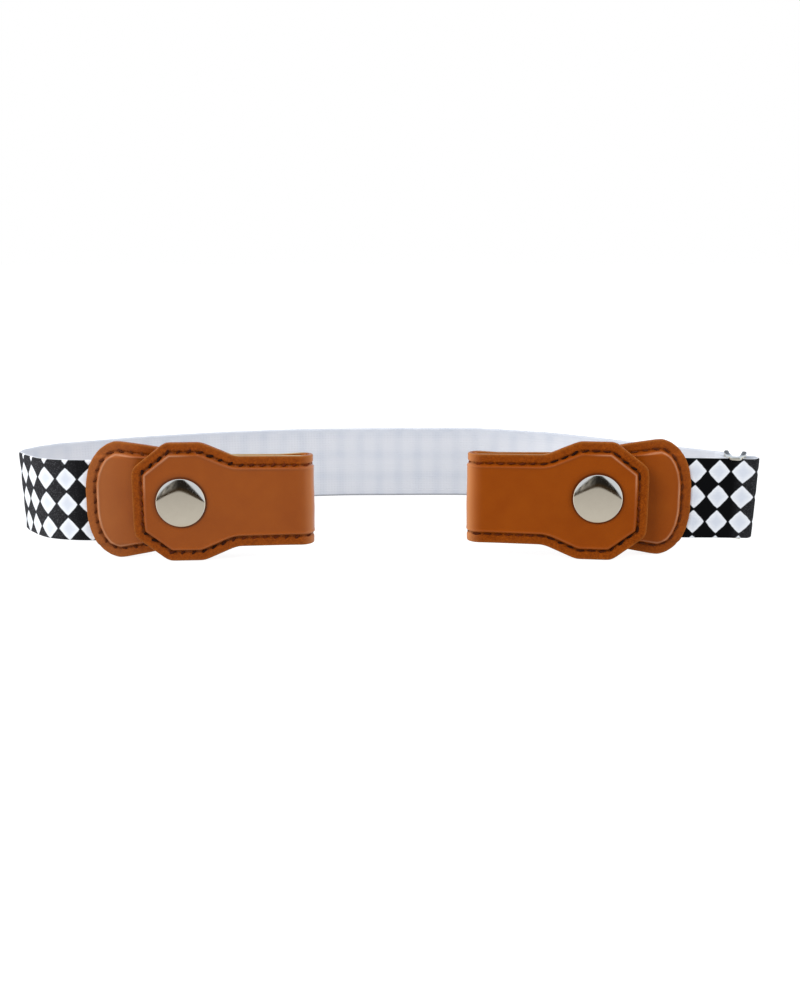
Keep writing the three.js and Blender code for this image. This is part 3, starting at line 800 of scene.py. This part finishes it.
def leather_finish(name, body, dark, rim_colour, roughness):
    """Coated split leather, embossed and finished with a satin lacquer.

    Gives the eye an even tan with slow cloudy changes of depth, a fine pebble grain, painted shade in
    the stitch groove and needle holes, a paler raw fibre core on the cut edges, painted highlights on
    the fold, on the lip and along the edge, a painted sheen towards the end of the base, and a colour
    painted darker and more saturated as shade where the gloss share is low."""
    material, add = new_material(name)
    spot = add("TexCoord").outputs["Object"]
    shade_rim_edge, gloss_and_highlight = (
        add("SeparateXYZ", [
            add("Attribute", attribute_name=attribute).outputs["Vector"]]).outputs
        for attribute in ("leather", "gloss_and_highlight"))
    cloud = add("TexNoise", {"Vector": spot, "Scale": 110.0, "Detail": 4.0, "Roughness": .55})
    cloud = add("MapRange", {"Value": cloud, "From Min": .3, "From Max": .7})
    mottled = add("Mix", {0: cloud, 6: linear(body[0]), 7: linear(body[1])}, data_type="RGBA")
    # Painted shade: the less gloss, the darker and more saturated the colour (the right tab, and the
    # lining inside the fold)
    painted_shade_colour = add("Mix", {0: 1.0, 6: mottled, 7: (.96, .85, .38, 1)},
                 data_type="RGBA", blend_type="MULTIPLY")
    colour = add("Mix", {0: gloss_and_highlight[1], 6: painted_shade_colour, 7: mottled}, data_type="RGBA")
    fibre = add("TexNoise", {
        "Vector": spot, "Scale": 900.0, "Detail": 4.0, "Roughness": .7, "Distortion": 1.5})
    fibre = add("MapRange", {"Value": fibre, "From Min": .38, "From Max": .66})
    pressed = add("Mix", {0: fibre, 6: linear(rim_colour[0]), 7: linear(rim_colour[1])},
                  data_type="RGBA")
    # Painted highlight along the edge
    painted_edge_highlight = add("MapRange", {"Value": shade_rim_edge[2], "To Max": .3})
    cut = add("MapRange", {"Value": shade_rim_edge[2], "From Min": 1.0, "From Max": 1.6})
    # One over the other: the pressed rim, the painted highlight and sheen on the fold and at the base's
    # end, the painted shade in the groove and holes, the painted highlight on the lip, the painted
    # highlight along the edge and the raw core where the strap was cut
    for share, most, over in (
            (shade_rim_edge[1], .8, pressed), (gloss_and_highlight[2], .62, linear("CC8A58")),
            (shade_rim_edge[0], 1, linear(dark)), (gloss_and_highlight[0], .78, linear("D9A07A")),
            (painted_edge_highlight, 1, linear("A36D33")), (cut, 1, linear("B3A077"))):
        share = add("Math", [share, most], operation="MULTIPLY")
        colour = add("Mix", {0: share, 6: colour, 7: over}, data_type="RGBA")
    # Pebble grain 0.45 mm across with finer pores, and slow wrinkles on the thin rim
    grain = add("TexVoronoi", {"Vector": spot, "Scale": 2200.0}, feature="SMOOTH_F1")
    pores = add("TexNoise", {"Vector": spot, "Scale": 1400.0, "Detail": 3.0})
    crease = add("TexNoise", {"Vector": spot, "Scale": 420.0, "Detail": 3.0, "Distortion": .8})
    crease = add("Math", [fibre, .3, crease], operation="MULTIPLY_ADD")
    crease = add("Math", [crease, shade_rim_edge[1]], operation="MULTIPLY")
    relief = add("Math", [grain, .35, pores], operation="MULTIPLY_ADD")
    relief = add("Math", [crease, 5.0, relief], operation="MULTIPLY_ADD")
    bump = add("Bump", {"Strength": .5, "Distance": .00004, "Height": relief})
    satin = add("MapRange", {"Value": cloud, "To Min": roughness[0], "To Max": roughness[1]})
    # The rim's lacquer is pressed off, so it shines less
    dulled = add("MapRange", {"Value": shade_rim_edge[1], "To Min": 1.0, "To Max": .25})
    level = add("Math", [gloss_and_highlight[1], .3], operation="MULTIPLY")
    level = add("Math", [level, dulled], operation="MULTIPLY")
    add("OutputMaterial", {"Surface": add("BsdfPrincipled", {
        "Base Color": colour, "Roughness": satin, "Specular IOR Level": level,
        "Specular Tint": (1, .9, .78, 1), "Coat Weight": .07, "Coat Roughness": .22,
        "Normal": bump})})
    return material


leathers = {
    "outer": leather_finish("tan_coated_leather", ("8D4208", "95490C"), "2E1003",
                            ("733206", "9A4A0D"), (.3, .37)),
    "lining": leather_finish("tan_coated_leather_lining", ("92450B", "9A4D10"), "451B06",
                             ("78350A", "9A4B0F"), (.32, .4)),
}


def thread_finish(name, colour, red):
    """Bonded polyester sewing thread: brown and matt, with the twist as fine diagonal ridges.

    A point attribute mixes in a redder brown: near the fold on the upper seam, along the strap on the
    lower seam, at the head's end, and a little on some stitches by a sine of their number."""
    material, add = new_material(name)
    share = add("Attribute", attribute_name="thread").outputs["Fac"]
    tone = add("Mix", {0: share, 6: linear(colour), 7: linear(red)}, data_type="RGBA")
    spot = add("TexCoord").outputs["Object"]
    twist = add("TexWave", {"Vector": spot, "Scale": 900.0, "Distortion": 1.5},
                bands_direction="DIAGONAL").outputs["Fac"]
    bump = add("Bump", {"Strength": .4, "Distance": .00004, "Height": twist})
    add("OutputMaterial", {"Surface": add("BsdfPrincipled", {
        "Base Color": tone, "Roughness": .7, "Specular IOR Level": .12, "Normal": bump})})
    return material


threads = {"outer": thread_finish("dark_brown_sewing_thread", "240C04", "74300F"),
           "lining": thread_finish("brown_sewing_thread", "562810", "7C3D12")}

# Nickel plating over a pressed brass cap, polished: a warm grey mirror with a faint haze of handling
nickel_finish, add = new_material("polished_nickel_plate")
spot = add("TexCoord").outputs["Object"]
haze = add("TexNoise", {"Vector": spot, "Scale": 500.0, "Detail": 5.0})
tone = add("Mix", {0: haze, 6: linear("D2C9B8"), 7: linear("DAD1C0")}, data_type="RGBA")
gloss = add("MapRange", {
    "Value": haze, "From Min": .3, "From Max": .75, "To Min": .06, "To Max": .13})
add("OutputMaterial", {"Surface": add("BsdfPrincipled", {
    "Metallic": 1.0, "Base Color": tone, "Roughness": gloss})})

# Pressed steel with a thin nickel flash: duller than the caps, with fine drawing lines, and dark on the
# upper ends of the bars
steel_finish, add = new_material("nickel_flashed_steel")
spot = add("TexCoord").outputs["Object"]
drawn = add("Mapping", {"Vector": spot, "Scale": (900, 900, 120)})
scratch = add("TexNoise", {"Vector": drawn, "Scale": 1.0, "Detail": 4.0})
tone = add("Mix", {0: scratch, 6: linear("CFCBBE"), 7: linear("DEDBD0")}, data_type="RGBA")
height = add("SeparateXYZ", [spot]).outputs[2]
tip = add("MapRange", {
    "Value": height, "From Min": (BAR_TOP - .5) * METRES, "From Max": (BAR_TOP - .3) * METRES})
tone = add("Mix", {0: tip, 6: tone, 7: linear("4A463B")}, data_type="RGBA")
gloss = add("MapRange", {"Value": scratch, "To Min": .2, "To Max": .36})
bump = add("Bump", {"Strength": .2, "Distance": .00002, "Height": scratch})
add("OutputMaterial", {"Surface": add("BsdfPrincipled", {
    "Metallic": 1.0, "Base Color": tone, "Roughness": gloss, "Normal": bump})})


# ---------------------------------------------------------------- the belt

wrap_radius = BAR_RADIUS + PIECE_GAP + WEB_THICKNESS / 2
long_points = np.vstack([
    smooth_route(LONG_ROUTE, .85),
    arc_route(SLIDE_LEFT, wrap_radius, 0, -180)[1:],
    smooth_route(LONG_TAIL, .5)[1:],
])
long_length = route_frame(long_points)[0][-1]
long_web = webbing(
    long_points, print_side=1, first_column=20.5, pitch=(7.17, 7.75), rows_from_top=5.95,
    lean=[(20, 0), (32, .7), (52, .7), (80, 0)],
    greyed=[(16, .2), (24, .9), (31, 1), (60, 1), (80, .2), (330, .2)],
    crest=[(90, 0), (150, .5), (230, .5), (290, 0)], bare_from=long_length - LONG_BARE_TAIL,
    edge_spread=.09, squeeze=.07)
add_piece("printed_elastic_long", [long_web], webbing_finish, ["long_elastic"])

fold_back = SHORT_FOLD[1] + SHORT_FOLD_RADIUS
short_points = np.vstack([
    smooth_route(SHORT_ROUTE, .6),
    arc_route(SHORT_FOLD, SHORT_FOLD_RADIUS, -72, 90, low_start=4.85),
    arc_route(SLIDE_RIGHT, fold_back - SLIDE_RIGHT[1], 100, 135),
    smooth_route(SHORT_TAIL, .5)[1:],
])
short_web = webbing(
    short_points, print_side=-1, first_column=15.55, pitch=(7.15, 7.85), rows_from_top=4.1,
    lean=[(27, 0), (31, .95), (37, .95), (41, 0)], greyed=[(27, 0), (31, .7), (40, .7), (44, 0)])
add_piece("printed_elastic_short", [short_web], webbing_finish,
          ["short_elastic"])

bars = [turned(bar_profile(), 24, np.array([*spot, BAR_BOTTOM]), (0, 0, 1))
        for spot in (SLIDE_LEFT, SLIDE_RIGHT)]
rails = [rail(BAR_TOP - .4, thickness=1.25, arch=RAIL_ARCH, half_width=.72),
         rail(BAR_BOTTOM + .35, thickness=.6, arch=(0, 0, 0), half_width=.6)]
add_piece("adjuster_slide", [(shape, {}) for shape in bars + rails], steel_finish,
          ["slide"])

for side, tab in TABS.items():
    strap = Strap(tab)
    add_piece(f"{side}_tab_outer", [strap.layer(OUTER)], leathers["outer"],
              [f"{side}_outer_leather"])
    add_piece(f"{side}_tab_lining", [strap.layer(LINING)], leathers["lining"],
              [f"{side}_inner_leather"])
    for facing, layer, slot in ((OUTER, "outer", "outer_leather"),
                                (LINING, "lining", "inner_leather")):
        add_piece(f"{side}_{layer}_stitches", strap.stitch_threads(facing), threads[layer],
                  crease=60)
    middle, forward, room = snap_parts(tab)
    cap = turned(cap_profile(), 96, middle + forward * (LAYER_REACH + CAP_STAND), forward)
    add_piece(f"{side}_cap", [(cap, {})], nickel_finish, [f"{side}_snap_cap"])
    post_start = middle - forward * (LAYER_REACH + PIECE_GAP + room)
    post = turned(post_profile(room), 48, post_start, forward)
    add_piece(f"{side}_post", [(post, {})], steel_finish, [f"{side}_snap_post"])


# ---------------------------------------------------------------- studio

scene = bpy.context.scene
scene.view_settings.view_transform = "Standard"

camera_data = bpy.data.cameras.new("camera")
camera_data.lens = 41.86
camera_data.sensor_width = 36
camera_data.clip_start = .01
camera = bpy.data.objects.new("camera", camera_data)
camera.location = place((0, -341, 97))
camera.rotation_euler = (math.radians(77), 0, 0)
scene.collection.objects.link(camera)
scene.camera = camera

# The sweep glows a little, so that it stays white under and behind the belt
FLOOR_REACH, FLOOR_LEVEL = 3, -.0002
floor_finish, add = new_material("white_paper_sweep")
add("OutputMaterial", {"Surface": add("BsdfPrincipled", {
    "Base Color": (.3, .3, .3, 1), "Roughness": .9, "Specular IOR Level": 0.0,
    "Emission Color": (1, 1, 1, 1), "Emission Strength": .85})})
floor_mesh = bpy.data.meshes.new("floor")
floor_mesh.from_pydata([(x * FLOOR_REACH, y * FLOOR_REACH, FLOOR_LEVEL)
                        for x, y in ((-1, -1), (1, -1), (1, 1), (-1, 1))], [], [(0, 1, 2, 3)])
floor_mesh.materials.append(floor_finish)
floor = bpy.data.objects.new("floor", floor_mesh)
floor.visible_diffuse = floor.visible_glossy = False
scene.collection.objects.link(floor)


def soft_box(name, location, target, size, power):
    """Square area light aimed at a target, which neither the camera nor a glossy surface shows."""
    data = bpy.data.lights.new(name, "AREA")
    data.size, data.energy = size, power
    lamp = bpy.data.objects.new(name, data)
    away = np.array(location, float) - np.array(target, float)
    lamp.location = location
    lamp.rotation_euler = (math.atan2(math.hypot(away[0], away[1]), away[2]), 0,
                           math.atan2(away[1], away[0]) + math.pi / 2)
    lamp.visible_camera = lamp.visible_glossy = False
    scene.collection.objects.link(lamp)


soft_box("left_box", (-.8, -.16, .42), target=(0, -.02, .02), size=.6, power=5.0)
soft_box("right_box", (.8, -.16, .42), target=(0, -.02, .02), size=.6, power=4.7)
soft_box("key_box", (-.5, -.75, .5), target=(0, -.03, .02), size=.4, power=3.6)

world = bpy.data.worlds.new("light_tent")
scene.world = world
world.use_nodes = True
world.node_tree.nodes.clear()
add = functools.partial(add_node, world.node_tree)
# A white tent that polished metal mirrors: brighter low down and at its sides, with a dark gable over
# the camera between two sloping lines, greyer at the left. Level and aside are the tangents of a
# direction's rise and of its turn from straight ahead.
way = add("SeparateXYZ", {0: add("TexCoord").outputs["Generated"]}).outputs
front = add("Math", [way[1], -1.0], operation="MULTIPLY")
front = add("Math", [front, .05], operation="MAXIMUM")
level = add("Math", [way[2], front], operation="DIVIDE")
aside = add("Math", [way[0], front], operation="DIVIDE")
aside = add("Math", [aside, .06], operation="ADD")
# The upper line falls straight from its ridge to both sides, the lower one is a hyperbola and soft at
# its top. Both fall faster to the right.
beside = add("Math", [aside], operation="ABSOLUTE")
above = add("Math", [beside, .94, level], operation="MULTIPLY_ADD")
above = add("Math", [aside, .14, above], operation="MULTIPLY_ADD")
over = add("MapRange", {"Value": above, "From Min": .98, "From Max": .92})
arch = add("Math", [aside, aside, .04], operation="MULTIPLY_ADD")
arch = add("Math", [arch], operation="SQRT")
lower = add("Math", [arch, .52, level], operation="MULTIPLY_ADD")
lower = add("Math", [aside, .06, lower], operation="MULTIPLY_ADD")
lower = add("Math", [lower, .35], operation="SUBTRACT")
softness = add("MapRange", {"Value": beside, "From Max": .45, "To Min": .11, "To Max": .03})
under = add("Math", [lower, softness], operation="DIVIDE")
under = add("MapRange", {"Value": under, "From Min": -.5, "From Max": .5}, **SMOOTH)
ahead = add("MapRange", {"Value": way[1], "From Min": -.1, "From Max": -.3})
dark = add("Math", [under, over], operation="MULTIPLY")
dark = add("Math", [dark, ahead], operation="MULTIPLY")
lowness = add("MapRange", {"Value": way[2], "From Min": .1, "From Max": -.8})
roof = add("MapRange", {"Value": above, "From Min": .92, "From Max": .98})
flank = add("Math", {0: way[0]}, operation="ABSOLUTE")
flank = add("MapRange", {"Value": flank, "From Min": .76, "From Max": .92}, **SMOOTH)
table = add("MapRange", {"Value": way[2], "From Min": -.84, "From Max": -.97})
tent = (.6, .6, .6, 1)
for share, tone in ((lowness, (.76, .76, .76, 1)), (roof, (.86, .98, 1.2, 1)),
                    (flank, (1.15, 1.15, 1.12, 1)), (table, (.75, .68, .58, 1))):
    tent = add("Mix", {0: share, 6: tent, 7: tone}, data_type="RGBA")
# Inside the gable: brown above the soft line, else near black, and streaked grey at the left
greyness = add("MapRange", {"Value": aside, "From Min": -.08, "From Max": -.5})
raised = add("MapRange", {"Value": lower, "From Min": .06, "From Max": .2})
greyness = add("Math", [greyness, raised], operation="MULTIPLY")
streaks = add("CombineXYZ", [above, aside])
streaks = add("TexNoise", {"Vector": streaks, "Scale": 5.0, "Detail": 3.0})
grey = add("MapRange", {
    "Value": streaks, "From Min": .35, "From Max": .65, "To Min": .1, "To Max": .5})
grey = add("CombineXYZ", [grey, grey, grey])
gable = add("Mix", {0: raised, 6: (.05, .032, .016, 1), 7: (.022, .02, .018, 1)},
            data_type="RGBA")
gable = add("Mix", {0: greyness, 6: gable, 7: grey}, data_type="RGBA")
tent = add("Mix", {0: dark, 6: tent, 7: gable}, data_type="RGBA")
# What the matt surfaces take from the tent is even and a little blue; the camera sees plain white
ray = add("LightPath").outputs
matt = add("Mix", {0: ray["Is Diffuse Ray"], 6: tent, 7: (.6, .62, .655, 1)},
           data_type="RGBA")
sky = add("Mix", {0: ray["Is Camera Ray"], 6: matt, 7: (1, 1, 1, 1)}, data_type="RGBA")
add("OutputWorld", {"Surface": add("Background", {"Color": sky, "Strength": 1.0})})
